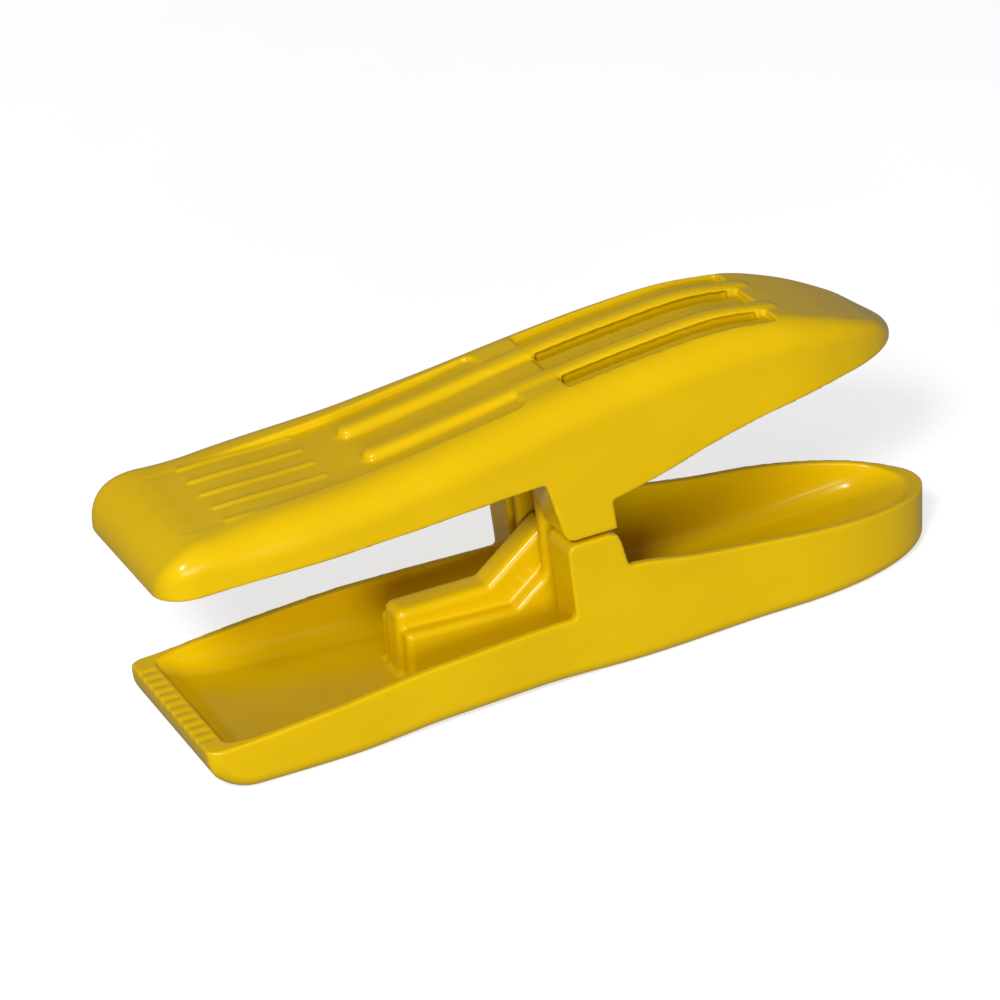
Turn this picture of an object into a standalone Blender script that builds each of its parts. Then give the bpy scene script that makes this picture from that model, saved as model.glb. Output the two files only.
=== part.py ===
"""Spring clip: two opposed trough-shaped plastic levers on one hinge, jaws at -X, handles at +X.

The lower lever lies flat on z = 0 and the clip is held open. Sizes are in millimetres and turned
into metres where the meshes are made. The origin is under the middle of the clip, on its base.
"""

import math

import bmesh
import bpy
from mathutils import Vector

MM = 0.001

# Overall sizes
HALF_LENGTH = 44.0       # the nose of the upper lever and the heel of the lower one, from the middle
JAW_HALF_WIDTH = 10.2    # half the width at the lip
LIP_X = -41.0            # front edge of the toothed lip on the lower lever
UPPER_HEEL_X = 40.0      # rear end of the upper lever

# Hinge
HINGE_X = 0.8
HINGE_Z = 20.6
PIN_RADIUS = 1.0
PIN_HALF_LENGTH = 6.4
RUNNING_FIT = 0.06       # radial play of the pin in its holes
EAR_INNER_Y = 2.0        # the lower lever's ears stand from here
EAR_OUTER_Y = 3.25       # to here
EAR_RADIUS = 2.7
LUG_INNER_Y = 4.5
BOSS_INNER_Y = 3.6       # round bosses inside the upper lugs keep the ears centred
BOSS_RADIUS = 2.5

# Shells
RIM = 0.9                # thickness of a side wall at its free edge
RIM_STEP = 0.02          # the rim steps in height behind the lugs' front, within this each way of 0
FLUSH_GAP = 0.06         # the lugs' outer faces stay this far inside the side walls' own
BASE_EDGE = 1.6          # radius of the long edges under the lower lever
FLOOR_EDGE = 2.2         # radius inside its trough
TOP_EDGE = 3.4           # radius of the long edges on top of the upper lever
CEILING_EDGE = 2.4       # radius inside its hollow
CREASE = 0.05            # radius of an edge that is left sharp

# Rounded ends: how far in from each end the outline is still curving
LIP_CORNER = 2.2
LIP_REACH = 5.2
NOSE_CORNER = 4.0
NOSE_REACH = 5.5
LOWER_HEEL_REACH = 19.0
UPPER_HEEL_REACH = 18.0
PLATE_THICKNESS = 1.9

# Spring
WIRE_RADIUS = 0.4
COIL_RADIUS = 1.9        # to the middle of the wire
COIL_PITCH = 0.84

# Thumb plate
RIDGE_Y = 2.85           # the two long ridges run this far either side of the middle
RIDGE_HALF_WIDTH = 0.8
RIDGE_HEIGHT = 0.3
CHANNEL_EDGE_Y = 6.2     # outer edge of the channels beside the ridges
CHANNEL_DEPTH = 0.3
POCKET_X = 0.8           # the channels step down to deeper pockets here
POCKET_DEPTH = 0.65
SLIT_WIDTH = 0.55

# Jaws
TOOTH_PITCH = 1.45       # the teeth on the lip and under the nose, across the clip
TOOTH_GROOVE_HALF_WIDTH = 0.3
GROOVES_EACH_SIDE = 5
NOSE_RIB_PITCH = 2.95
NOSE_RIB_HALF_WIDTH = 0.35
NOSE_RIB_HEIGHT = 0.25

ARC_STEPS = 4            # facets in each rounded corner of a section
ROUND_SIDES = 24
END_HALF_WIDTH = 0.6     # a rounded end closes with a small flat of this half width


# ---------------------------------------------------------------- shape rules

def along(x, points):
    """Height or width at x on a smooth curve through (x, value) points, level at both ends."""
    if x <= points[0][0]:
        return points[0][1]
    if x >= points[-1][0]:
        return points[-1][1]
    slopes = [0.0] * len(points)
    for i in range(1, len(points) - 1):
        left = (points[i][1] - points[i - 1][1]) / (points[i][0] - points[i - 1][0])
        right = (points[i + 1][1] - points[i][1]) / (points[i + 1][0] - points[i][0])
        if left * right > 0.0:
            slopes[i] = 2.0 * left * right / (left + right)
    for i in range(len(points) - 1):
        x0, v0 = points[i]
        x1, v1 = points[i + 1]
        if x <= x1:
            break
    step = x1 - x0
    t = (x - x0) / step
    bend0 = (1 + 2 * t) * (1 - t) ** 2 * v0 + t * (1 - t) ** 2 * step * slopes[i]
    bend1 = t * t * (3 - 2 * t) * v1 + t * t * (t - 1) * step * slopes[i + 1]
    return bend0 + bend1


def quarter(distance, reach):
    """From 0 at the end of a piece to 1 at reach from it, as a quarter of an ellipse."""
    t = min(max(distance / reach, 0.0), 1.0)
    return math.sqrt(1.0 - (1.0 - t) ** 2)


WAIST = [(-44.0, 10.2), (-29.0, 10.45), (-16.0, 9.9), (-2.0, 9.15), (10.0, 8.9), (23.0, 8.3)]
LOWER_FRONT_RIM = [(-41.0, 5.3), (-28.0, 6.25), (-16.0, 7.15), (-2.0, 7.35)]
LOWER_REAR_RIM = [(5.0, 11.5), (14.0, 10.1), (22.0, 9.05), (30.0, 8.25), (38.0, 7.35), (44.0, 6.7)]
LOWER_BASE = [(-26.0, 0.0), (-15.0, 0.45), (-5.0, 0.45), (8.0, 0.0)]
LOWER_FLOOR = [(-39.2, 4.6), (-36.0, 3.4), (-30.0, 2.5), (-20.0, 2.1), (10.0, 1.8), (28.0, 2.2),
               (38.0, 4.0), (43.2, 6.6)]
UPPER_RIM = [(-44.0, 22.2), (-36.0, 22.4), (-20.0, 22.65), (-3.5, 23.1)]
UPPER_REAR_RIM = [(3.0, 19.5), (7.8, 20.2), (15.0, 22.1), (25.0, 24.0), (32.0, 24.7), (40.0, 24.8)]
UPPER_TOP = [(-38.0, 27.1), (-30.0, 27.6), (-20.0, 28.4), (-10.0, 29.8), (0.0, 31.4), (10.0, 32.6),
             (18.0, 33.2), (24.0, 32.6), (30.0, 30.9), (36.0, 28.4), (40.0, 26.4)]


def lower_half_width(x):
    if x < LIP_X + LIP_CORNER:
        return JAW_HALF_WIDTH * (0.8 + 0.2 * quarter(x - LIP_X, LIP_CORNER))
    return max(along(x, WAIST) * quarter(HALF_LENGTH - x, LOWER_HEEL_REACH), END_HALF_WIDTH)


def upper_half_width(x):
    if x < -HALF_LENGTH + NOSE_CORNER:
        return JAW_HALF_WIDTH * (0.64 + 0.36 * quarter(x + HALF_LENGTH, NOSE_CORNER))
    return max(along(x, WAIST) * quarter(UPPER_HEEL_X - x, UPPER_HEEL_REACH), END_HALF_WIDTH)


def lower_rim(x):
    return along(x, LOWER_FRONT_RIM) if x < 0.0 else along(x, LOWER_REAR_RIM)


def lower_base(x):
    front_rise = 4.7 * (1.0 - quarter(x - LIP_X, LIP_REACH))
    heel_rise = 2.2 * (1.0 - quarter(HALF_LENGTH - x, 2.2))
    return along(x, LOWER_BASE) + front_rise + heel_rise


def upper_rim(x):
    return along(x, UPPER_RIM) if x < 0.0 else along(x, UPPER_REAR_RIM)


def upper_top(x):
    nose_drop = 4.4 * (1.0 - quarter(x + HALF_LENGTH, NOSE_REACH))
    return along(x, UPPER_TOP) - nose_drop


# ---------------------------------------------------------------- mesh tools

def section(half_width, low, high, low_radius, high_radius, middle=0.0):
    """A rounded box in the YZ plane, as (y, z) points in order."""
    points = []
    corners = [(1, -1, low_radius, -90), (1, 1, high_radius, 0), (-1, 1, high_radius, 90),
               (-1, -1, low_radius, 180)]
    room = 0.49 * min(2.0 * half_width, high - low)
    for side, level, radius, start in corners:
        r = max(min(radius, room), 0.02)
        centre_y = middle + side * (half_width - r)
        centre_z = high - r if level > 0 else low + r
        for k in range(ARC_STEPS + 1):
            turn = math.radians(start + 90.0 * k / ARC_STEPS)
            points.append((centre_y + r * math.cos(turn), centre_z + r * math.sin(turn)))
    return points


def new_object(name, bm):
    """An object of this mesh, with its faces turned out and its size in metres."""
    bmesh.ops.scale(bm, vec=(MM, MM, MM), verts=bm.verts)
    bmesh.ops.recalc_face_normals(bm, faces=bm.faces)
    mesh = bpy.data.meshes.new(name)
    bm.to_mesh(mesh)
    bm.free()
    piece = bpy.data.objects.new(name, mesh)
    bpy.context.scene.collection.objects.link(piece)
    return piece


def loft(name, stations):
    """A closed body through sections given as (x, points)."""
    bm = bmesh.new()
    rings = []
    for x, points in stations:
        rings.append([bm.verts.new((x, y, z)) for y, z in points])
    for one, two in zip(rings, rings[1:]):
        for k in range(len(one)):
            n = (k + 1) % len(one)
            bm.faces.new((one[k], one[n], two[n], two[k]))
    bm.faces.new(rings[0])
    bm.faces.new(rings[-1])
    return new_object(name, bm)


def slab(name, outline, y_low, y_high):
    """A side view outline of (x, z) points, given a thickness along Y."""
    bm = bmesh.new()
    near = [bm.verts.new((x, y_low, z)) for x, z in outline]
    far = [bm.verts.new((x, y_high, z)) for x, z in outline]
    bm.faces.new(near)
    bm.faces.new(far)
    for k in range(len(outline)):
        n = (k + 1) % len(outline)
        bm.faces.new((near[k], near[n], far[n], far[k]))
    return new_object(name, bm)


def round_bar(name, radius, y_low, y_high, x=HINGE_X, z=HINGE_Z):
    """A round bar along Y."""
    turns = [math.tau * k / ROUND_SIDES for k in range(ROUND_SIDES)]
    outline = [(x + radius * math.cos(t), z + radius * math.sin(t)) for t in turns]
    return slab(name, outline, y_low, y_high)


def combine(piece, tool, operation):
    """Joins the tool to the piece, or cuts it away, and removes the tool."""
    modifier = piece.modifiers.new(operation.lower(), "BOOLEAN")
    modifier.operation = operation
    modifier.solver = "EXACT"
    modifier.object = tool
    bpy.context.view_layer.update()
    shape = bpy.data.meshes.new_from_object(piece.evaluated_get(bpy.context.evaluated_depsgraph_get()))
    piece.modifiers.clear()
    piece.data = shape
    bpy.data.objects.remove(tool)


def spread(first, last, count):
    return [first + (last - first) * k / (count - 1) for k in range(count)]


def toward_end(end, reach, count):
    """Stations that crowd towards a rounded end, from the end inwards."""
    return [end + reach * (1.0 - math.cos(0.5 * math.pi * k / (count - 1))) for k in range(count)]


# ---------------------------------------------------------------- levers

def shell_body(name, xs, half_width, low, high, low_radius, high_radius):
    stations = []
    for x in xs:
        stations.append((x, section(half_width(x), low(x), high(x), low_radius, high_radius)))
    return loft(name, stations)


def make_lower_lever():
    xs = toward_end(LIP_X, LIP_REACH, 7)
    xs += spread(-33.0, -2.0, 8) + spread(-1.0, 24.0, 7)
    xs += sorted(toward_end(HALF_LENGTH, -18.0, 9))
    xs += [-RIM_STEP, RIM_STEP]
    xs.sort()
    lever = shell_body("lower_lever", xs, lower_half_width, lower_base, lower_rim, BASE_EDGE, CREASE)

    # The trough, open at the top, from behind the lip to the heel
    hollow_xs = toward_end(LIP_X + LIP_CORNER, 3.0, 4) + spread(-33.0, 24.0, 11)
    hollow_xs += sorted(toward_end(HALF_LENGTH - 1.2, -17.0, 7))
    stations = []
    for x in hollow_xs:
        inner = max(lower_half_width(x) - RIM, 0.4)
        stations.append((x, section(inner, along(x, LOWER_FLOOR), 26.0, FLOOR_EDGE, CREASE)))
    combine(lever, loft("trough", stations), "DIFFERENCE")

    # Side lugs that stop the clip when it is squeezed fully open
    lug = [(-0.6, 2.8), (-0.85, 7.5), (-1.45, 14.6), (-1.2, 15.4), (-0.6, 15.6), (3.2, 15.6),
           (4.1, 15.3), (4.5, 14.4), (5.2, 11.6), (5.6, 2.8)]
    for side in (-1, 1):
        outer = side * (along(2.0, WAIST) - FLUSH_GAP)
        combine(lever, slab("lug", lug, *sorted((side * LUG_INNER_Y, outer))), "UNION")

    # The stepped block on the trough floor, and its ramp up to the hinge
    shoulders = [(-16.6, 1.2), (-16.6, 7.1), (-16.1, 7.4), (-4.6, 6.8), (1.0, 11.3), (3.0, 11.3),
                 (3.0, 1.2)]
    combine(lever, slab("shoulders", shoulders, -EAR_OUTER_Y, EAR_OUTER_Y), "UNION")
    spine = [(-16.9, 1.0), (-16.9, 8.8), (-16.3, 9.3), (-6.9, 9.3), (-0.4, 14.5), (2.8, 14.5),
             (2.8, 1.0)]
    combine(lever, slab("spine", spine, -1.7, 1.7), "UNION")

    # Two ears that carry the pin
    ear = [(-1.1, 9.0), (-1.7, 19.0)]
    for k in range(9):
        turn = math.radians(200.0 - 220.0 * k / 8)
        ear.append((HINGE_X + EAR_RADIUS * math.cos(turn), HINGE_Z + EAR_RADIUS * math.sin(turn)))
    ear += [(2.9, 9.0)]
    for side in (-1, 1):
        sides = sorted((side * EAR_INNER_Y, side * (EAR_OUTER_Y - 0.02)))
        combine(lever, slab("ear", ear, *sides), "UNION")
    hole = round_bar("hole", PIN_RADIUS + RUNNING_FIT, -EAR_OUTER_Y - 1.0, EAR_OUTER_Y + 1.0)
    combine(lever, hole, "DIFFERENCE")

    # Grooves across the lip, which leave a row of teeth
    for k in range(-GROOVES_EACH_SIDE, GROOVES_EACH_SIDE + 1):
        combine(lever, groove(TOOTH_PITCH * k, LIP_X - 1.0, LIP_X + 1.7, 5.0, 6.5), "DIFFERENCE")
    return lever


def groove(middle, x_low, x_high, z_low, z_high):
    """A cutter for one groove between two teeth, at this Y."""
    shape = section(TOOTH_GROOVE_HALF_WIDTH, z_low, z_high, CREASE, CREASE, middle)
    return loft("groove", [(x_low, shape), (x_high, shape)])


def strip(name, x_low, x_high, y_low, y_high, below, above, steps):
    """A strip that follows the upper lever's top surface, from below it to above it."""
    half = 0.5 * (y_high - y_low)
    middle = 0.5 * (y_high + y_low)
    stations = []
    for x in spread(x_low, x_high, steps):
        top = upper_top(x)
        stations.append((x, section(half, top - below, top + above, 0.02, 0.02, middle)))
    return loft(name, stations)


def make_upper_lever():
    xs = toward_end(-HALF_LENGTH, NOSE_REACH, 7) + spread(-35.0, -2.0, 8) + spread(1.0, 20.0, 6)
    xs += sorted(toward_end(UPPER_HEEL_X, -18.0, 9))
    xs += [-RIM_STEP, RIM_STEP]
    xs.sort()
    lever = shell_body("upper_lever", xs, upper_half_width, upper_rim, upper_top, CREASE, TOP_EDGE)

    # The hollow underneath, open at the bottom
    hollow_xs = toward_end(-HALF_LENGTH + 2.6, 4.0, 4) + spread(-35.0, 20.0, 11)
    hollow_xs += sorted(toward_end(UPPER_HEEL_X - 1.3, -16.5, 7))
    stations = []
    for x in hollow_xs:
        inner = max(upper_half_width(x) - RIM, 0.4)
        ceiling = upper_top(x) - PLATE_THICKNESS
        stations.append((x, section(inner, 12.0, ceiling, CREASE, CEILING_EDGE)))
    combine(lever, loft("hollow", stations), "DIFFERENCE")

    # Side lugs, whose inner faces carry bosses for the ends of the pin
    lug = [(-3.6, 27.0), (-3.5, 23.0), (-1.75, 16.9), (-1.3, 16.3), (-0.6, 16.1), (4.1, 16.1),
           (3.75, 19.4), (7.0, 20.3), (8.0, 27.0)]
    for side in (-1, 1):
        outer = side * (along(2.0, WAIST) - FLUSH_GAP)
        combine(lever, slab("lug", lug, *sorted((side * LUG_INNER_Y, outer))), "UNION")
        boss = sorted((side * BOSS_INNER_Y, side * (LUG_INNER_Y + 1.0)))
        combine(lever, round_bar("boss", BOSS_RADIUS, *boss), "UNION")
        socket = sorted((side * (BOSS_INNER_Y - 1.0), side * (PIN_HALF_LENGTH + 0.3)))
        combine(lever, round_bar("socket", PIN_RADIUS + RUNNING_FIT, *socket), "DIFFERENCE")

    # Thumb plate: channels between and beside two long ridges, which step down to pockets
    inner = RIDGE_Y - RIDGE_HALF_WIDTH
    outer = RIDGE_Y + RIDGE_HALF_WIDTH
    between = (-inner, inner)
    beside = [(-CHANNEL_EDGE_Y, -outer), (outer, CHANNEL_EDGE_Y)]
    sunk = [(-20.2, POCKET_X + 0.1, CHANNEL_DEPTH, *between, 9)]
    for sides in beside:
        sunk.append((-20.2, -3.7, CHANNEL_DEPTH, *sides, 7))
    for sides in (between, *beside):
        sunk.append((POCKET_X, 24.0, POCKET_DEPTH, *sides, 9))
    for x_low, x_high, depth, y_low, y_high, steps in sunk:
        cutter = strip("channel", x_low, x_high, y_low, y_high, depth, 3.0, steps)
        combine(lever, cutter, "DIFFERENCE")
    for side in (-1, 1):
        ridge_sides = sorted((side * inner, side * outer))
        ridge = strip("ridge", -19.6, 26.0, *ridge_sides, 1.4, RIDGE_HEIGHT, 17)
        combine(lever, ridge, "UNION")
        for y_low, y_high in ((inner - SLIT_WIDTH, inner), (outer, outer + SLIT_WIDTH)):
            sides = sorted((side * y_low, side * y_high))
            combine(lever, strip("slit", 1.3, 23.0, *sides, 4.0, 2.0, 9), "DIFFERENCE")

    # Teeth under the nose, which meet the teeth on the lower lip
    for k in range(-GROOVES_EACH_SIDE, GROOVES_EACH_SIDE + 1):
        cutter = groove(TOOTH_PITCH * k, -HALF_LENGTH - 1.0, -HALF_LENGTH + 2.4, 20.0, 22.55)
        combine(lever, cutter, "DIFFERENCE")

    # Five fine ribs on the nose
    for k in range(-2, 3):
        low = NOSE_RIB_PITCH * k - NOSE_RIB_HALF_WIDTH
        high = NOSE_RIB_PITCH * k + NOSE_RIB_HALF_WIDTH
        combine(lever, strip("rib", -35.0, -23.6, low, high, 0.8, NOSE_RIB_HEIGHT, 5), "UNION")
    return lever


# ---------------------------------------------------------------- hinge

def make_pivot_pin():
    return round_bar("pivot_pin", PIN_RADIUS, -PIN_HALF_LENGTH, PIN_HALF_LENGTH)


def make_torsion_spring():
    """Three turns round the pin, with one leg under each handle."""
    rise_angle = math.radians(43.0)      # slope of the leg that pushes the upper handle up
    fall_angle = math.radians(-78.0)     # slope of the leg that pushes the lower handle down
    start = rise_angle - 0.5 * math.pi   # where the rising leg leaves the coil
    end = fall_angle + 0.5 * math.pi - 3 * math.tau
    half_coil = 0.5 * COIL_PITCH * (start - end) / math.tau
    steps = 54
    points = []
    rising = Vector((math.cos(rise_angle), 0.0, math.sin(rise_angle)))
    leaves = Vector((HINGE_X + COIL_RADIUS * math.cos(start), -half_coil,
                     HINGE_Z + COIL_RADIUS * math.sin(start)))
    points.append(leaves + rising * 14.6 + Vector((2.0, 0.0, 0.9)))
    for distance in (14.6, 10.0, 5.0, 1.5):
        points.append(leaves + rising * distance)
    for k in range(steps + 1):
        turn = start + (end - start) * k / steps
        y = -half_coil + 2.0 * half_coil * k / steps
        points.append(Vector((HINGE_X + COIL_RADIUS * math.cos(turn), y,
                              HINGE_Z + COIL_RADIUS * math.sin(turn))))
    falling = Vector((math.cos(fall_angle), 0.0, math.sin(fall_angle)))
    leaves = points[-1]
    for distance in (1.5, 6.0, 12.0, 17.6):
        points.append(leaves + falling * distance)
    points.append(points[-1] + Vector((0.9, 0.0, -0.55)))
    points.append(points[-1] + Vector((3.6, 0.0, 0.0)))

    curve = bpy.data.curves.new("torsion_spring", "CURVE")
    curve.dimensions = "3D"
    curve.bevel_depth = WIRE_RADIUS * MM
    curve.bevel_resolution = 2
    curve.use_fill_caps = True
    spline = curve.splines.new("POLY")
    spline.points.add(len(points) - 1)
    for target, point in zip(spline.points, points):
        target.co = (point.x * MM, point.y * MM, point.z * MM, 1.0)
    piece = bpy.data.objects.new("torsion_spring", curve)
    bpy.context.scene.collection.objects.link(piece)
    return piece


# ---------------------------------------------------------------- materials

def paint(piece, name, colour, roughness, metallic):
    material = bpy.data.materials.new(name)
    material.use_nodes = True
    shader = material.node_tree.nodes["Principled BSDF"]
    shader.inputs["Base Color"].default_value = (*colour, 1.0)
    shader.inputs["Roughness"].default_value = roughness
    shader.inputs["Metallic"].default_value = metallic
    piece.data.materials.clear()
    piece.data.materials.append(material)


def build():
    for old in list(bpy.data.objects):
        bpy.data.objects.remove(old)
    paint(make_lower_lever(), "lower_plastic", (0.70, 0.47, 0.01), 0.25, 0.0)
    paint(make_upper_lever(), "upper_plastic", (0.70, 0.47, 0.01), 0.25, 0.0)
    paint(make_pivot_pin(), "pin_steel", (0.62, 0.62, 0.64), 0.3, 1.0)
    paint(make_torsion_spring(), "spring_steel", (0.55, 0.55, 0.58), 0.35, 1.0)


build()
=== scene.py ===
"""Looks of the spring clip: moulded levers, pin, spring, materials, light and camera.

Both levers are built as solids of signed distance, in millimetres, so that every inside corner has
the fillet and every outside edge the radius of a moulding. Each solid is sampled on a grid, turned
into a mesh, and drawn onto its exact surface. Both are mirrored about y = 0.
"""

import math

import bpy
import numpy as np
from mathutils import Matrix, Vector


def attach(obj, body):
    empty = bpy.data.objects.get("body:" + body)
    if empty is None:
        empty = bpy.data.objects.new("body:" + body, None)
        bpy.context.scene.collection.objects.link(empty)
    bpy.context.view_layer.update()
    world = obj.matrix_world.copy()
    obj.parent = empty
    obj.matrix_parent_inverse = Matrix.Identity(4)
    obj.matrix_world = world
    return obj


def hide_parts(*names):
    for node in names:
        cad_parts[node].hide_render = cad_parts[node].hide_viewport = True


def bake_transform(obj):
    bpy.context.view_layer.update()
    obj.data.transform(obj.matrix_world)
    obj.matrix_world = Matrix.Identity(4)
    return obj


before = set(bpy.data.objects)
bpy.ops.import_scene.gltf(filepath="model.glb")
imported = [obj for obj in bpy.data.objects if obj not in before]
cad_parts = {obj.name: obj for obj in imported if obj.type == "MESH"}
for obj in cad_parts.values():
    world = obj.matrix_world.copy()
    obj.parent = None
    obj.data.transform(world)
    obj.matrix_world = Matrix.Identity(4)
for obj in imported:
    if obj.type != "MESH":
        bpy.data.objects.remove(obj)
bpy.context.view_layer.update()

MM = 0.001
GRID = 0.2    # spacing of the samples, mm
FAR = 60.0                           # well outside the clip, mm

# Sizes shared with the CAD model, mm
HALF_LENGTH = 44.0
LIP_X = -41.0
UPPER_HEEL_X = 40.0
JAW_HALF_WIDTH = 10.2
HINGE_X = 0.8
HINGE_Z = 20.6
PIN_RADIUS = 1.0
PIN_HALF_LENGTH = 6.4
RUNNING_FIT = 0.06
RIM = 0.9
PLATE_THICKNESS = 1.9
WAIST = [(-44.0, 10.2), (-29.0, 10.45), (-16.0, 9.9), (-2.0, 9.15), (10.0, 8.9), (23.0, 8.3)]
LOWER_FRONT_RIM = [(-41.0, 5.3), (-28.0, 6.25), (-16.0, 7.15), (-2.0, 7.35)]
LOWER_REAR_RIM = [(5.0, 11.5), (14.0, 10.1), (22.0, 9.05), (30.0, 8.25), (38.0, 7.35), (44.0, 6.7)]
LOWER_BASE = [(-26.0, 0.0), (-15.0, 0.45), (-5.0, 0.45), (8.0, 0.0)]
LOWER_FLOOR = [(-39.2, 4.6), (-36.0, 3.4), (-30.0, 2.5), (-20.0, 2.1), (10.0, 1.8), (28.0, 2.2),
               (38.0, 4.0), (43.2, 6.6)]
UPPER_RIM = [(-44.0, 22.2), (-36.0, 22.4), (-20.0, 22.65), (-3.5, 23.1)]
UPPER_REAR_RIM = [(3.0, 19.5), (7.8, 20.2), (15.0, 22.1), (25.0, 24.0), (32.0, 24.7), (40.0, 24.8)]
UPPER_TOP = [(-38.0, 27.1), (-30.0, 27.6), (-20.0, 28.4), (-10.0, 29.8), (0.0, 31.4), (10.0, 32.6),
             (18.0, 33.2), (24.0, 32.6), (30.0, 30.9), (36.0, 28.4), (40.0, 26.4)]

# Ends in plan and in side view: how far back each rounding reaches, mm
LIP_CORNER = 1.2
NOSE_CORNER = 3.6
LOWER_HEEL_REACH = 19.0
UPPER_HEEL_REACH = 18.0
LIP_REACH = 5.2
LIP_RISE = 4.7
NOSE_REACH = 5.5
NOSE_DROP = 4.4
FLOOR_END_X = 43.2
FLOOR_REACH = 10.0
TROUGH_FRONT_X = -38.8
HOLLOW_FRONT_X = -41.4

# Radii of edges and fillets, mm
RIM_EDGE = 0.14
OUTSIDE_EDGE = 0.16
BASE_EDGE = 1.6
FLOOR_FILLET = 2.2
CEILING_FILLET = 2.4
BORE_EDGE = 0.1
TOP_EDGE = [(-44.0, 1.9), (-33.0, 3.2), (18.0, 3.4), (40.0, 1.3)]

# Lugs, block and ears, mm: outlines in side view
LUG_INNER_Y = 4.5
LUG_EDGE = 0.25
LOWER_LUG = [(-0.6, 2.8), (-0.85, 7.5), (-1.45, 14.6), (-1.2, 15.4), (-0.6, 15.6), (3.2, 15.6),
             (4.1, 15.3), (4.5, 14.4), (5.2, 11.6), (5.6, 2.8)]
UPPER_LUG = [(-3.6, 27.0), (-3.5, 23.0), (-1.75, 16.9), (-1.3, 16.3), (-0.6, 16.1), (4.1, 16.1),
             (3.75, 19.4), (7.0, 20.3), (8.0, 27.0)]
SHOULDERS = [(-16.6, 1.2), (-16.6, 7.1), (-16.1, 7.4), (-4.6, 6.8), (1.0, 11.3), (3.0, 11.3),
             (3.0, 1.2)]
SHOULDERS_HALF_WIDTH = 3.25
SPINE = [(-16.9, 1.0), (-16.9, 8.8), (-16.3, 9.3), (-6.9, 9.3), (-0.4, 14.5), (2.8, 14.5),
         (2.8, 1.0)]
SPINE_HALF_WIDTH = 1.7
EAR_FOOT = [(-1.1, 9.0), (-1.7, 19.0)]
EAR_HEEL = (2.9, 9.0)
EAR_RADIUS = 2.7
EAR_INNER_Y = 2.0
BOSS_RADIUS = 2.5
BOSS_Y = 4.6
BOSS_HALF_LENGTH = 1.0
SOCKET_END_GAP = 0.3

# Thumb plate, mm: places across the clip and depths below the top
RIDGE_INNER_Y = 1.85
RIDGE_OUTER_Y = 3.85
FIELD_EDGE_Y = 6.2
FIELD_DEPTH = [(-37.0, 0.0), (-23.0, 0.7), (-11.0, 0.6), (-3.0, 0.4)]
POCKET_DEPTH = 0.65
RIDGE_HEIGHT = 0.2
ROOT_DEPTH = 1.4             # ridges and ribs grow from this deep in the plate
SLIT_UNDER_RIDGE = 0.55
SLIT_BESIDE_RIDGE = 0.6
SLIT_ROOF = 0.2
SLIT_DEPTH = 4.0             # right through the plate
RIB_PITCH = 2.95
RIB_HALF_WIDTH = 0.3
RIB_HEIGHT = 0.14
TOOTH_PITCH = 1.45
GROOVE_HALF_WIDTH = 0.34

# Pin and spring, mm
WIRE_RADIUS = 0.4
COIL_RADIUS = 1.9
COIL_PITCH = 0.84
UPPER_LEG = 14.6
LOWER_LEG = 17.6


# ---------------------------------------------------------------- distance tools

def along(x, points):
    """Values at x on a smooth curve through (x, value) points, level at both ends."""
    px = np.array([p[0] for p in points])
    pv = np.array([p[1] for p in points])
    slopes = np.diff(pv) / np.diff(px)
    left, right = slopes[:-1], slopes[1:]
    total = np.where(left * right > 0, left + right, 1.0)
    inner = np.where(left * right > 0, 2 * left * right / total, 0.0)
    tangents = np.concatenate([[0.0], inner, [0.0]])
    x = np.clip(x, px[0], px[-1])
    i = np.clip(np.searchsorted(px, x, side="right") - 1, 0, len(px) - 2)
    step = px[i + 1] - px[i]
    t = (x - px[i]) / step
    bend0 = (1 + 2 * t) * (1 - t) ** 2 * pv[i] + t * (1 - t) ** 2 * step * tangents[i]
    bend1 = t * t * (3 - 2 * t) * pv[i + 1] + t * t * (t - 1) * step * tangents[i + 1]
    return bend0 + bend1


def quarter(distance, reach):
    """From 0 at the end of a piece to 1 at reach from it, as a quarter of an ellipse."""
    t = np.clip(distance / reach, 0.0, 1.0)
    return np.sqrt(1.0 - (1.0 - t) ** 2)


def to_line(u, v, line):
    """Distance from each (u, v) to a polyline, unsigned."""
    best = np.full(u.shape, FAR * FAR)
    for (u0, v0), (u1, v1) in zip(line, line[1:]):
        du, dv = u1 - u0, v1 - v0
        size = du * du + dv * dv
        if size < 1e-12:
            continue
        t = np.clip(((u - u0) * du + (v - v0) * dv) / size, 0.0, 1.0)
        best = np.minimum(best, (u - u0 - t * du) ** 2 + (v - v0 - t * dv) ** 2)
    return np.sqrt(best)


def polygon(u, v, corners):
    """Signed distance to a closed outline, negative inside."""
    line = list(corners) + [corners[0]]
    inside = np.zeros(u.shape, bool)
    for (u0, v0), (u1, v1) in zip(line, line[1:]):
        if v0 != v1:
            crosses = (v0 > v) != (v1 > v)
            inside ^= crosses & (u < (u1 - u0) * (v - v0) / (v1 - v0) + u0)
    return np.where(inside, -1.0, 1.0) * to_line(u, v, line)


def both(a, b, r):
    """Where two solids overlap, with the edge between them rounded to radius r."""
    corner = np.hypot(np.maximum(a + r, 0), np.maximum(b + r, 0))
    return np.minimum(-r, np.maximum(a, b)) + corner


def either(a, b, r):
    """Two solids joined, with a fillet of radius r between them."""
    corner = np.hypot(np.maximum(r - a, 0), np.maximum(r - b, 0))
    return np.maximum(r, np.minimum(a, b)) - corner


def without(a, b, r):
    """One solid less another, with the edge rounded to radius r."""
    return both(a, -b, r)


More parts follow.
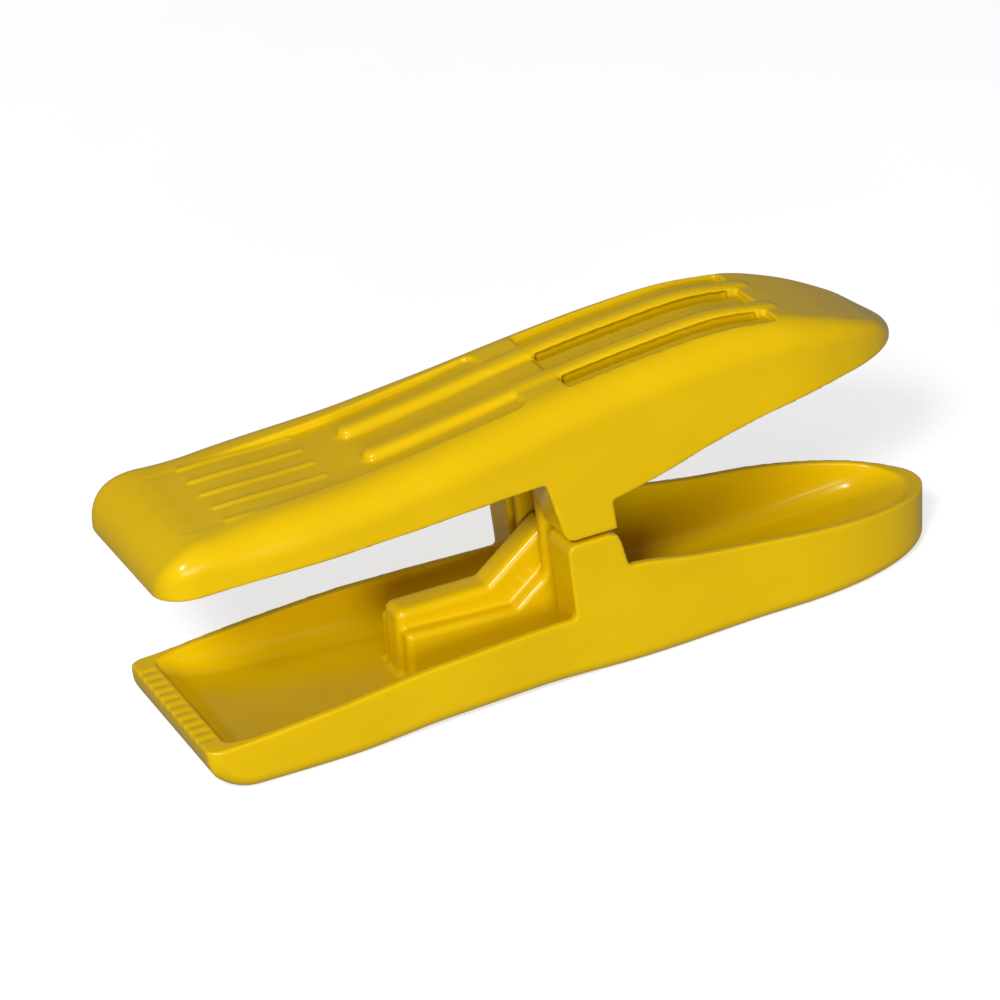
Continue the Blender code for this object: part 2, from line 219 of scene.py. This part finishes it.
def box(u, v, u0, u1, v0, v1, r):
    """Signed distance to a rectangle with corners of radius r."""
    du = np.abs(u - 0.5 * (u0 + u1)) - 0.5 * (u1 - u0) + r
    dv = np.abs(v - 0.5 * (v0 + v1)) - 0.5 * (v1 - v0) + r
    return np.hypot(np.maximum(du, 0), np.maximum(dv, 0)) + np.minimum(np.maximum(du, dv), 0) - r


def curve(x0, x1, step, height):
    """Points (x, height(x)) from x0 to x1."""
    xs = np.linspace(x0, x1, max(2, int(round((x1 - x0) / step)) + 1))
    return list(zip(xs, height(xs)))


def crowded(end, reach, count, height):
    """Points (x, height(x)) that crowd towards a rounded end, from the end inwards."""
    xs = end + reach * (1.0 - np.cos(0.5 * math.pi * np.arange(count) / (count - 1)))
    return list(zip(xs, height(xs)))


# ---------------------------------------------------------------- outlines

def lower_half_width(x):
    corner = JAW_HALF_WIDTH * (0.91 + 0.09 * quarter(x - LIP_X, LIP_CORNER))
    body = along(x, WAIST) * quarter(HALF_LENGTH - x, LOWER_HEEL_REACH)
    return np.where(x < LIP_X + LIP_CORNER, corner, body)


def upper_half_width(x):
    corner = JAW_HALF_WIDTH * (0.69 + 0.31 * quarter(x + HALF_LENGTH, NOSE_CORNER))
    body = along(x, WAIST) * quarter(UPPER_HEEL_X - x, UPPER_HEEL_REACH)
    return np.where(x < -HALF_LENGTH + NOSE_CORNER, corner, body)


def lower_base(x):
    return along(x, LOWER_BASE) + LIP_RISE * (1.0 - quarter(x - LIP_X, LIP_REACH))


def lower_rim(x):
    return np.where(x < 0, along(x, LOWER_FRONT_RIM), along(x, LOWER_REAR_RIM))


def upper_rim(x):
    return np.where(x < 0, along(x, UPPER_RIM), along(x, UPPER_REAR_RIM))


def floor_height(x):
    return along(x, LOWER_FLOOR)


def upper_top(x):
    return along(x, UPPER_TOP) - NOSE_DROP * (1.0 - quarter(x + HALF_LENGTH, NOSE_REACH))


def plan_distance(x, y, half_width, front, heel, front_reach, heel_reach):
    """Signed distance to an outline in plan, for y >= 0."""
    line = [(front, -4.0)]
    line += crowded(front, front_reach, 12, half_width)
    line += curve(front + front_reach, heel - heel_reach, 0.5, half_width)
    line += crowded(heel, -heel_reach, 60, half_width)[::-1]
    line += [(heel, -4.0)]
    inside = (x > front) & (x < heel) & (y < half_width(np.clip(x, front, heel)))
    return np.where(inside, -1.0, 1.0) * to_line(x, y, line)


def side_distance(x, z, height, start, end, turn_up, reach):
    """Signed distance to a curve in side view: negative above it, or below it if it turns down."""
    line = [(start, float(height(np.array(start))) + (FAR if turn_up else -FAR))]
    line += crowded(start, reach, 24, height)
    line += curve(start + reach, end, 0.4, height)
    line += [(end + FAR, float(height(np.array(end))))]
    level = height(np.maximum(x, start))
    inside = (x > start) & ((z > level) if turn_up else (z < level))
    return np.where(inside, -1.0, 1.0) * to_line(x, z, line)


def outside_of(plan, profile, r):
    """Overlap of a plan and a side profile, rounded except where both are the front wall."""
    shared = np.gradient(plan, GRID, axis=0) * np.gradient(profile, GRID, axis=0)
    return both(plan, profile, r * (1.0 - np.clip(shared, 0.0, 1.0)) + 0.02)


def rim_distance(x, z, height, start, end):
    """Signed distance to a rim, negative above it."""
    line = [(start - FAR, float(height(np.array(start))))]
    line += curve(start, -0.01, 0.8, height) + curve(0.01, end, 0.8, height)
    line += [(end + FAR, float(height(np.array(end))))]
    return np.where(z > height(x), -1.0, 1.0) * to_line(x, z, line)


# ---------------------------------------------------------------- solids

class Solid:
    """A grid of samples over half a lever (y >= 0), with 2-D distances shared by its parts."""

    def __init__(self, low, high):
        count = [int(math.ceil((b - a) / GRID)) + 1 for a, b in zip(low, high)]
        self.low = low
        xs = low[0] + GRID * np.arange(count[0])
        ys = GRID * (np.arange(int(math.ceil(high[1] / GRID)) + 1) + 0.5)
        zs = low[2] + GRID * np.arange(count[2])
        self.x = xs[:, None, None]
        self.y = ys[None, :, None]
        self.z = zs[None, None, :]

    def plan(self, function, *values):
        return function(*np.broadcast_arrays(self.x[:, :, 0], self.y[:, :, 0]), *values)[:, :, None]

    def side(self, function, *values):
        return function(*np.broadcast_arrays(self.x[:, 0, :], self.z[:, 0, :]), *values)[:, None, :]


def end_teeth(solid, shape, y_high, x_low, x_high, z_low, z_high):
    """Fine grooves along the clip across one lip, which leave a row of teeth."""
    half = 0.5 * TOOTH_PITCH
    offset = np.abs((solid.y + half) % TOOTH_PITCH - half)
    groove = solid.side(box, x_low, x_high, z_low, z_high, 0.2)
    groove = both(both(offset - GROOVE_HALF_WIDTH, groove, 0.15), solid.y - y_high, 0.05)
    return without(shape, groove, 0.15)


def ear_outline():
    """An ear in side view: a round eye about the hinge on a straight foot."""
    outline = list(EAR_FOOT)
    for k in range(25):
        turn = math.radians(200.0 - 220.0 * k / 24)
        outline.append((HINGE_X + EAR_RADIUS * math.cos(turn),
                        HINGE_Z + EAR_RADIUS * math.sin(turn)))
    return outline + [EAR_HEEL]


def lower_lever(solid):
    x, y, z = solid.x, solid.y, solid.z
    plan = solid.plan(plan_distance, lower_half_width, LIP_X, HALF_LENGTH, LIP_CORNER,
                      LOWER_HEEL_REACH)
    base = solid.side(side_distance, lower_base, LIP_X, HALF_LENGTH, True, LIP_REACH)
    rim = -solid.side(rim_distance, lower_rim, LIP_X, HALF_LENGTH)
    floor = solid.side(side_distance, floor_height, -70.0, FLOOR_END_X, True, FLOOR_REACH)
    trough = both(both(plan + RIM, floor, FLOOR_FILLET), -(x - TROUGH_FRONT_X), 0.5)

    # The walls and the floor, and the side lugs on them
    lugs = both(solid.side(polygon, LOWER_LUG), LUG_INNER_Y - y, LUG_EDGE)
    shape = either(without(rim, trough, RIM_EDGE), lugs, 0.45)

    # The stepped block, its ramp, and the ears that carry the pin
    ears = both(solid.side(polygon, ear_outline()), EAR_INNER_Y - y, 0.25)
    shoulders = either(solid.side(polygon, SHOULDERS), ears, 0.5)
    shoulders = both(shoulders, y - SHOULDERS_HALF_WIDTH, 0.7)
    spine = both(solid.side(polygon, SPINE), y - SPINE_HALF_WIDTH, 0.8)
    shape = either(shape, either(shoulders, spine, 0.3), 0.6)

    shape = both(shape, outside_of(plan, base, BASE_EDGE), OUTSIDE_EDGE)
    hole = np.hypot(x - HINGE_X, z - HINGE_Z) - PIN_RADIUS - RUNNING_FIT
    shape = without(shape, hole, BORE_EDGE)
    return end_teeth(solid, shape, 8.0, LIP_X - 2.0, LIP_X + 1.8, 5.2, 7.5)


def thumb_plate(solid, shape, top):
    """The plate with a field that sinks behind the nose, pockets, ridges, slits and ribs."""
    inner, outer, edge = RIDGE_INNER_Y, RIDGE_OUTER_Y, FIELD_EDGE_Y
    sinking = along(solid.x, FIELD_DEPTH)
    for x0, x1, y1 in ((-40.0, -3.7, edge), (-10.0, 1.2, inner)):
        field = both(solid.plan(box, x0, x1, -y1, y1, 1.1), -(top + sinking), 0.15)
        shape = without(shape, field, 0.18)
    for y0, y1 in ((-inner, inner), (outer, edge)):
        pocket = both(solid.plan(box, 0.8, 24.0, y0, y1, 0.3), -(top + POCKET_DEPTH), 0.12)
        shape = without(shape, pocket, 0.1)
    ridge = both(solid.plan(box, -19.8, 26.0, inner, outer, 0.95), top - RIDGE_HEIGHT, 0.75)
    shape = either(shape, both(ridge, -(top + ROOT_DEPTH), 0.1), 0.3)

    # Each slit runs a little way in under its ridge
    for y0, y1 in ((inner - SLIT_BESIDE_RIDGE, inner + SLIT_UNDER_RIDGE),
                   (outer - SLIT_UNDER_RIDGE, outer + SLIT_BESIDE_RIDGE)):
        slit = both(solid.plan(box, 1.3, 23.0, y0, y1, 0.15), top + SLIT_ROOF, 0.05)
        shape = without(shape, both(slit, -(top + SLIT_DEPTH), 0.1), 0.06)

    # Five fine ribs on the nose, low on the field's floor, the outer two along its edges
    for k in range(3):
        middle = RIB_PITCH * k
        rib = solid.plan(box, -35.6, -23.6, middle - RIB_HALF_WIDTH, middle + RIB_HALF_WIDTH, 0.28)
        rib = both(rib, top + sinking - RIB_HEIGHT, 0.18)
        shape = either(shape, both(rib, -(top + ROOT_DEPTH), 0.1), 0.2)
    return shape


def upper_lever(solid):
    x, y, z = solid.x, solid.y, solid.z
    plan = solid.plan(plan_distance, upper_half_width, -HALF_LENGTH, UPPER_HEEL_X, NOSE_CORNER,
                      UPPER_HEEL_REACH)
    top = solid.side(side_distance, upper_top, -HALF_LENGTH, UPPER_HEEL_X, False, NOSE_REACH)
    rim = solid.side(rim_distance, upper_rim, -HALF_LENGTH, UPPER_HEEL_X)
    hollow = both(plan + RIM, top + PLATE_THICKNESS, CEILING_FILLET)
    hollow = both(hollow, -(x - HOLLOW_FRONT_X), 1.6)

    # Walls and plate, the side lugs, and bosses inside the lugs for the ends of the pin
    lugs = both(solid.side(polygon, UPPER_LUG), LUG_INNER_Y - y, LUG_EDGE)
    shape = either(without(rim, hollow, RIM_EDGE), lugs, 0.5)
    from_hinge = np.hypot(x - HINGE_X, z - HINGE_Z)
    boss = both(from_hinge - BOSS_RADIUS, np.abs(y - BOSS_Y) - BOSS_HALF_LENGTH, 0.15)
    shape = either(shape, boss, 0.2)
    socket_end = y - PIN_HALF_LENGTH - SOCKET_END_GAP
    socket = both(from_hinge - PIN_RADIUS - RUNNING_FIT, socket_end, 0.1)
    shape = without(shape, socket, BORE_EDGE)

    # Outside, with a large radius along the top edges that shrinks at the corners of nose and heel
    shape = both(shape, outside_of(plan, top, along(x, TOP_EDGE)), OUTSIDE_EDGE)
    shape = thumb_plate(solid, shape, top)
    return end_teeth(solid, shape, 6.5, -HALF_LENGTH + 0.5, -HALF_LENGTH + 2.5, 20.0, 22.4)


# ---------------------------------------------------------------- mesh of a solid

def sample(field, low, points):
    """Values of a grid at points, blended from the eight samples around each."""
    place = (points - low) / GRID
    cell = np.clip(np.floor(place).astype(int), 0, np.array(field.shape[:3]) - 2)
    t = place - cell
    total = 0.0
    for dx in (0, 1):
        for dy in (0, 1):
            for dz in (0, 1):
                share = np.abs(1 - dx - t[:, 0]) * np.abs(1 - dy - t[:, 1])
                share = share * np.abs(1 - dz - t[:, 2])
                value = field[cell[:, 0] + dx, cell[:, 1] + dy, cell[:, 2] + dz]
                total = total + (share[:, None] * value if value.ndim > 1 else share * value)
    return total


def shell_of(field, low):
    """Vertices and four-sided faces on a grid's zero level, one vertex in each cell it crosses."""
    solid = field < 0
    shape = np.array(field.shape) - 1
    count = np.zeros(shape, np.int8)
    for dx in (0, 1):
        for dy in (0, 1):
            for dz in (0, 1):
                count += solid[dx:dx + shape[0], dy:dy + shape[1], dz:dz + shape[2]]
    cells = np.argwhere((count > 0) & (count < 8))
    index = np.full(shape, -1, np.int32)
    index[cells[:, 0], cells[:, 1], cells[:, 2]] = np.arange(len(cells))
    place = np.zeros((len(cells), 3))
    hits = np.zeros(len(cells))
    for axis in range(3):
        others = [a for a in range(3) if a != axis]
        for p in (0, 1):
            for q in (0, 1):
                corner = np.zeros(3, int)
                corner[others[0]], corner[others[1]] = p, q
                one = cells + corner
                two = one.copy()
                two[:, axis] += 1
                a = field[one[:, 0], one[:, 1], one[:, 2]]
                b = field[two[:, 0], two[:, 1], two[:, 2]]
                crosses = (a < 0) != (b < 0)
                t = np.where(crosses, a / np.where(crosses, a - b, 1.0), 0.0)
                point = corner + np.eye(3)[axis] * t[:, None]
                place += np.where(crosses[:, None], point, 0.0)
                hits += crosses
    verts = low + GRID * (cells + place / hits[:, None])

    faces = []
    for axis in range(3):
        a, b = (axis + 1) % 3, (axis + 2) % 3
        near = [slice(0, -1)] * 3
        far = [slice(0, -1)] * 3
        far[axis] = slice(1, None)
        near[a] = near[b] = far[a] = far[b] = slice(1, -1)
        turns = solid[tuple(near)] != solid[tuple(far)]
        where = np.argwhere(turns)
        where[:, a] += 1
        where[:, b] += 1
        leaving = solid[where[:, 0], where[:, 1], where[:, 2]]
        ring = []
        for da, db in ((0, 0), (1, 0), (1, 1), (0, 1)):
            cell = where.copy()
            cell[:, a] -= 1 - da
            cell[:, b] -= 1 - db
            ring.append(index[cell[:, 0], cell[:, 1], cell[:, 2]])
        ring = np.stack(ring, axis=1)
        ring[~leaving] = ring[~leaving][:, ::-1]
        faces.append(ring)
    return verts, np.concatenate(faces)


def mesh_of(name, verts, faces):
    mesh = bpy.data.meshes.new(name)
    mesh.vertices.add(len(verts))
    mesh.vertices.foreach_set("co", np.asarray(verts, np.float32).ravel())
    mesh.loops.add(faces.size)
    mesh.loops.foreach_set("vertex_index", faces.astype(np.int32).ravel())
    mesh.polygons.add(len(faces))
    starts = np.arange(0, faces.size, faces.shape[1], dtype=np.int32)
    mesh.polygons.foreach_set("loop_start", starts)
    mesh.update(calc_edges=True)
    return mesh


def add_object(name, mesh):
    piece = bpy.data.objects.new(name, mesh)
    bpy.context.scene.collection.objects.link(piece)
    return piece


def moulded(name, make, low, high):
    """A lever's mesh, in metres, with its vertices and normals on the exact surface."""
    solid = Solid(low, high)
    half = make(solid)
    field = np.concatenate([half[:, ::-1, :], half], axis=1)
    corner = np.array([low[0], -GRID * (half.shape[1] - 0.5), low[2]])
    verts, faces = shell_of(field, corner)
    slopes = np.stack(np.gradient(field, GRID), axis=-1)

    mesh = mesh_of(name, verts, faces)
    piece = add_object(name, mesh)
    for _ in range(3):
        slope = sample(slopes, corner, verts)
        size = np.maximum((slope ** 2).sum(axis=1), 0.25)
        step = sample(field, corner, verts) / size
        verts = verts - slope * np.clip(step, -0.3 * GRID, 0.3 * GRID)[:, None]
    slope = sample(slopes, corner, verts)
    normals = slope / np.maximum(np.linalg.norm(slope, axis=1), 1e-6)[:, None]
    mesh.vertices.foreach_set("co", (verts * MM).astype(np.float32).ravel())
    mesh.update()
    mesh.shade_smooth()
    mesh.normals_split_custom_set_from_vertices(normals)
    return piece


# ---------------------------------------------------------------- materials

class Nodes:
    """A material being built: its nodes, and short ways to add and join them."""

    def __init__(self, name):
        self.material = bpy.data.materials.new(name)
        self.material.use_nodes = True
        self.tree = self.material.node_tree
        self.shader = self.tree.nodes["Principled BSDF"]
        self.space = self.add("ShaderNodeTexCoord").outputs["Object"]

    def add(self, kind, **inputs):
        node = self.tree.nodes.new(kind)
        for key, value in inputs.items():
            socket = node.inputs[key.replace("_", " ")]
            if isinstance(value, bpy.types.NodeSocket):
                self.tree.links.new(value, socket)
            else:
                socket.default_value = value
        return node

    def stretched(self, scale):
        return self.add("ShaderNodeMapping", Vector=self.space, Scale=scale).outputs["Vector"]

    def noise(self, scale, detail=3.0, roughness=0.5, vector=None):
        node = self.add("ShaderNodeTexNoise", Vector=vector or self.space, Scale=scale,
                        Detail=detail, Roughness=roughness)
        return node.outputs["Fac"]

    def ramp(self, value, stops, smooth=True):
        node = self.add("ShaderNodeValToRGB", Fac=value)
        elements = node.color_ramp.elements
        while len(elements) < len(stops):
            elements.new(0.5)
        for element, (position, colour) in zip(elements, stops):
            element.position = position
            element.color = colour if len(colour) == 4 else (*colour, 1.0)
        node.color_ramp.interpolation = "EASE" if smooth else "LINEAR"
        return node.outputs["Color"]

    def span(self, value, low, high, to_low, to_high):
        node = self.add("ShaderNodeMapRange", Value=value, From_Min=low, From_Max=high,
                        To_Min=to_low, To_Max=to_high)
        return node.outputs["Result"]

    def blend(self, factor, one, two):
        node = self.tree.nodes.new("ShaderNodeMix")
        node.data_type = "RGBA"
        for key, value in (("Factor", factor), ("A", one), ("B", two)):
            socket = node.inputs[key]
            if isinstance(value, bpy.types.NodeSocket):
                self.tree.links.new(value, socket)
            else:
                socket.default_value = value
        return node.outputs["Result"]

    def maths(self, operation, one, two):
        node = self.tree.nodes.new("ShaderNodeMath")
        node.operation = operation
        for socket, value in zip(node.inputs, (one, two)):
            if isinstance(value, bpy.types.NodeSocket):
                self.tree.links.new(value, socket)
            else:
                socket.default_value = value
        return node.outputs["Value"]

    def edges(self, low, high):
        """From 0 on flat areas to 1 on outside edges, which handling polishes and pales."""
        pointiness = self.add("ShaderNodeNewGeometry").outputs["Pointiness"]
        return self.span(pointiness, low, high, 0.0, 1.0)

    def bump(self, layers):
        """Bumps of (height, strength, distance in metres), one on another."""
        normal = None
        for height, strength, distance in layers:
            node = self.add("ShaderNodeBump", Height=height, Strength=strength, Distance=distance)
            if normal is not None:
                self.tree.links.new(normal, node.inputs["Normal"])
            normal = node.outputs["Normal"]
        self.tree.links.new(normal, self.shader.inputs["Normal"])

    def set(self, **inputs):
        for key, value in inputs.items():
            socket = self.shader.inputs[key.replace("_", " ")]
            if isinstance(value, bpy.types.NodeSocket):
                self.tree.links.new(value, socket)
            else:
                socket.default_value = value


def moulded_plastic():
    """Glossy yellow moulded plastic: swirls of pigment, rubbed edges, fine waviness and scuffs."""
    m = Nodes("yellow_moulded_plastic")
    swirl = m.noise(90.0, 4.0, 0.6, m.stretched((0.5, 1.0, 1.0)))
    colour = m.ramp(swirl, [(0.3, (0.68, 0.430, 0.001)), (0.7, (0.73, 0.470, 0.001))])
    speck = m.ramp(m.noise(2600.0, 2.0, 0.6), [(0.66, (0, 0, 0)), (0.74, (1, 1, 1))])
    colour = m.blend(m.maths("MULTIPLY", speck, 0.10), colour, (0.45, 0.25, 0.001, 1.0))
    wear = m.edges(0.53, 0.62)
    worn = m.maths("MULTIPLY", wear, m.span(m.noise(420.0, 3.0), 0.35, 0.7, 0.0, 0.22))
    colour = m.blend(worn, colour, (0.86, 0.64, 0.05, 1.0))
    patches = m.span(m.noise(160.0, 4.0, 0.6), 0.3, 0.7, 0.15, 0.24)
    scuffs = m.noise(1.0, 5.0, 0.7, m.stretched((350.0, 2600.0, 2600.0)))
    scuffed = m.ramp(scuffs, [(0.60, (0, 0, 0)), (0.70, (1, 1, 1))])
    roughness = m.maths("ADD", patches, m.maths("MULTIPLY", scuffed, 0.10))
    m.set(Base_Color=colour, Roughness=roughness, IOR=1.46, Specular_IOR_Level=0.25)
    m.bump([(m.noise(55.0, 2.0, 0.4), 0.35, 0.00035), (m.noise(900.0, 3.0, 0.55), 0.30, 0.000012)])
    return m.material


def drawn_steel(name, colour, dark, along_y):
    """Bright steel with fine drawing lines round or along it, and a little tarnish."""
    m = Nodes(name)
    scale = (9000.0, 400.0, 9000.0) if along_y else (5000.0, 5000.0, 5000.0)
    lines = m.noise(1.0, 4.0, 0.6, m.stretched(scale))
    tarnish = m.ramp(m.noise(700.0, 5.0, 0.65), [(0.42, (0, 0, 0)), (0.66, (1, 1, 1))])
    base = m.blend(m.maths("MULTIPLY", tarnish, 0.55), (*colour, 1.0), (*dark, 1.0))
    base = m.blend(m.maths("MULTIPLY", m.edges(0.52, 0.6), 0.3), base, (0.82, 0.82, 0.84, 1.0))
    rough = m.maths("ADD", m.span(lines, 0.3, 0.7, 0.20, 0.38), m.maths("MULTIPLY", tarnish, 0.12))
    m.set(Base_Color=base, Roughness=rough, Metallic=1.0)
    m.bump([(lines, 0.25, 0.000006), (m.noise(1500.0, 3.0), 0.2, 0.00001)])
    return m.material


def floor_material():
    m = Nodes("pale_floor")
    colour = m.ramp(m.noise(9.0, 4.0, 0.5), [(0.3, (0.61, 0.61, 0.62)), (0.7, (0.64, 0.64, 0.65))])
    m.set(Base_Color=colour, Roughness=m.span(m.noise(60.0), 0.3, 0.7, 0.55, 0.7),
          Emission_Color=(1.0, 1.0, 1.0, 1.0), Emission_Strength=0.62)
    m.bump([(m.noise(800.0, 3.0), 0.1, 0.00002)])
    return m.material


def dress(piece, material):
    piece.data.materials.clear()
    piece.data.materials.append(material)


# ---------------------------------------------------------------- pin and spring

def turned_pin():
    """The steel pin, with chamfered and slightly domed ends."""
    r, half = PIN_RADIUS, PIN_HALF_LENGTH
    right = [(0.0, half), (0.45 * r, half - 0.01), (0.68 * r, half - 0.03), (0.76 * r, half - 0.06),
             (0.97 * r, half - 0.27), (r, half - 0.34), (r, half - 0.6)]
    profile = [(rr, yy) for rr, yy in right] + [(r, 0.5 * half), (r, 0.0), (r, -0.5 * half)]
    profile += [(rr, -yy) for rr, yy in reversed(right)]
    sides = 72
    verts = [(HINGE_X, profile[0][1], HINGE_Z)]
    for rr, yy in profile[1:-1]:
        for k in range(sides):
            t = math.tau * k / sides
            verts.append((HINGE_X + rr * math.cos(t), yy, HINGE_Z + rr * math.sin(t)))
    verts.append((HINGE_X, profile[-1][1], HINGE_Z))
    mesh = bpy.data.meshes.new("ground_pin")
    rings = len(profile) - 2
    faces = [(0, 1 + (k + 1) % sides, 1 + k) for k in range(sides)]
    for i in range(rings - 1):
        for k in range(sides):
            a, b = 1 + i * sides + k, 1 + i * sides + (k + 1) % sides
            faces.append((a, b, b + sides, a + sides))
    last = 1 + (rings - 1) * sides
    faces += [(last + k, last + (k + 1) % sides, len(verts) - 1) for k in range(sides)]
    mesh.from_pydata([tuple(MM * c for c in v) for v in verts], [], faces)
    mesh.shade_smooth()
    mesh.set_sharp_from_angle(angle=math.radians(35))
    return add_object("ground_pin", mesh)


def wire_route():
    """The wire's middle line: upper leg, coil round the pin, and leg down to the heel."""
    radius, pitch = COIL_RADIUS, COIL_PITCH
    rise, fall = math.radians(43.0), math.radians(-78.0)
    start = rise - 0.5 * math.pi
    end = fall + 0.5 * math.pi - 3 * math.tau
    half = 0.5 * pitch * (start - end) / math.tau
    up = Vector((math.cos(rise), 0.0, math.sin(rise)))
    down = Vector((math.cos(fall), 0.0, math.sin(fall)))

    def on_coil(turn, y):
        return Vector((HINGE_X + radius * math.cos(turn), y, HINGE_Z + radius * math.sin(turn)))

    leaves = on_coil(start, -half)
    tip = leaves + up * UPPER_LEG
    corners = [tip + Vector((2.0, 0.0, 0.9)), tip, leaves]
    points = rounded_path(corners, 1.2)
    steps = 180
    for k in range(1, steps):
        turn = start + (end - start) * k / steps
        points.append(on_coil(turn, -half + 2.0 * half * k / steps))
    leaves = on_coil(end, half)
    tip = leaves + down * LOWER_LEG
    foot = tip + Vector((0.9, 0.0, -0.55))
    corners = [leaves, tip, foot, foot + Vector((3.6, 0.0, 0.0))]
    return points + rounded_path(corners, 0.6)


def rounded_path(corners, radius):
    """Points along straight runs with each bend rounded off."""
    points = []
    for i, corner in enumerate(corners):
        if i in (0, len(corners) - 1):
            points.append(corner)
            continue
        back = (corners[i - 1] - corner)
        ahead = (corners[i + 1] - corner)
        reach = min(radius, 0.45 * back.length, 0.45 * ahead.length)
        p, q = corner + back.normalized() * reach, corner + ahead.normalized() * reach
        for k in range(7):
            t = k / 6
            points.append(p * (1 - t) ** 2 + corner * 2 * t * (1 - t) + q * t * t)
    filled = [points[0]]
    for one, two in zip(points, points[1:]):
        pieces = max(1, int((two - one).length / 0.6))
        filled += [one.lerp(two, (k + 1) / pieces) for k in range(pieces)]
    return filled


def wound_spring():
    """The wire swept along its route, with a small chamfer on the cut ends."""
    path = wire_route()
    sides, radius = 20, WIRE_RADIUS
    tangent = (path[1] - path[0]).normalized()
    side = tangent.cross(Vector((0.0, 1.0, 0.0))).normalized()
    verts, rings = [], []
    last = len(path) - 1
    for i, point in enumerate(path):
        ahead = (path[min(i + 1, last)] - path[max(i - 1, 0)]).normalized()
        side = (side - ahead * side.dot(ahead)).normalized()
        other = ahead.cross(side)
        scales = [(1.0, 0.0)]
        if i == 0:
            scales = [(0.72, 0.0), (1.0, 0.1)]
        if i == last:
            scales = [(1.0, -0.1), (0.72, 0.0)]
        for scale, shift in scales:
            rings.append(len(verts))
            for k in range(sides):
                t = math.tau * k / sides
                offset = (side * math.cos(t) + other * math.sin(t)) * radius * scale
                verts.append((point + ahead * shift + offset) * MM)
    faces = [tuple(range(rings[0], rings[0] + sides))[::-1],
             tuple(range(rings[-1], rings[-1] + sides))]
    for one, two in zip(rings, rings[1:]):
        for k in range(sides):
            n = (k + 1) % sides
            faces.append((one + k, one + n, two + n, two + k))
    mesh = bpy.data.meshes.new("wound_spring")
    mesh.from_pydata([tuple(v) for v in verts], [], faces)
    mesh.shade_smooth()
    mesh.set_sharp_from_angle(angle=math.radians(35))
    return add_object("wound_spring", mesh)


# ---------------------------------------------------------------- the clip

plastic = moulded_plastic()

lower = moulded("moulded_lower_lever", lower_lever, (-42.0, 0.0, -1.0), (45.0, 11.6, 24.4))
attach(lower, "lower")
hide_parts("lower_lever")
dress(lower, plastic)

upper = moulded("moulded_upper_lever", upper_lever, (-45.0, 0.0, 15.0), (41.0, 11.6, 34.6))
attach(upper, "upper")
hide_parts("upper_lever")
dress(upper, plastic)

pin = turned_pin()
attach(pin, "upper")
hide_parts("pivot_pin")
pin_steel = drawn_steel("ground_pin_steel", (0.62, 0.62, 0.64), (0.30, 0.29, 0.28), True)
dress(pin, pin_steel)

spring = wound_spring()
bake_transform(spring)
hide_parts("torsion_spring")
wire_steel = drawn_steel("drawn_spring_steel", (0.52, 0.52, 0.54), (0.22, 0.21, 0.20), False)
dress(spring, wire_steel)


# ---------------------------------------------------------------- stage, light and camera

def stage_floor():
    mesh = bpy.data.meshes.new("floor")
    s = 3.0
    mesh.from_pydata([(-s, -s, 0), (s, -s, 0), (s, s, 0), (-s, s, 0)], [], [(0, 1, 2, 3)])
    floor = add_object("floor", mesh)
    floor.data.materials.append(floor_material())
    floor.visible_diffuse = False    # so that the bright floor doesn't wash out the yellow
    floor.visible_glossy = False


def area_light(name, place, aim, size, power, reflected=True):
    data = bpy.data.lights.new(name, "AREA")
    data.shape = "RECTANGLE"
    data.size, data.size_y = size
    data.energy = power
    lamp = bpy.data.objects.new(name, data)
    lamp.location = place
    lamp.rotation_mode = "QUATERNION"
    lamp.rotation_quaternion = (Vector(aim) - Vector(place)).to_track_quat("-Z", "Y")
    lamp.visible_glossy = reflected
    bpy.context.scene.collection.objects.link(lamp)


stage_floor()

world = bpy.data.worlds.new("studio")
world.use_nodes = True
world.node_tree.nodes["Background"].inputs["Color"].default_value = (1.0, 1.0, 1.0, 1.0)
world.node_tree.nodes["Background"].inputs["Strength"].default_value = 0.22
bpy.context.scene.world = world
bpy.context.scene.view_settings.view_transform = "Standard"

area_light("key", (-0.30, -0.36, 0.39), (0.0, 0.0, 0.015), (0.11, 0.11), 2.45)
area_light("front", (-0.13, -0.57, 0.135), (0.0, 0.0, 0.015), (0.40, 0.20), 1.85)
area_light("rear", (-0.10, 0.60, 0.12), (0.0, 0.0, 0.015), (0.40, 0.20), 0.9, reflected=False)


def aim_camera():
    """Turns the camera to an azimuth, an elevation and a roll, at a distance from the aim point."""
    azimuth, elevation, roll = math.radians(-25.224), math.radians(28.449), math.radians(-3.325)
    aim = Vector((-2.353, 4.013, 15.149)) * MM
    distance = 0.4
    reach = math.cos(elevation)
    forward = Vector((-math.sin(azimuth) * reach, math.cos(azimuth) * reach, -math.sin(elevation)))
    level = Vector((math.cos(azimuth), math.sin(azimuth), 0.0))
    right = level * math.cos(roll) + level.cross(forward) * math.sin(roll)
    above = right.cross(forward)
    turn = Matrix((right, above, -forward)).transposed().to_4x4()
    data = bpy.data.cameras.new("camera")
    data.sensor_width = 36.0
    data.lens = 144.0
    data.clip_start, data.clip_end = 0.01, 20.0
    camera = bpy.data.objects.new("camera", data)
    camera.matrix_world = Matrix.Translation(aim - forward * distance) @ turn
    bpy.context.scene.collection.objects.link(camera)
    bpy.context.scene.camera = camera


aim_camera()
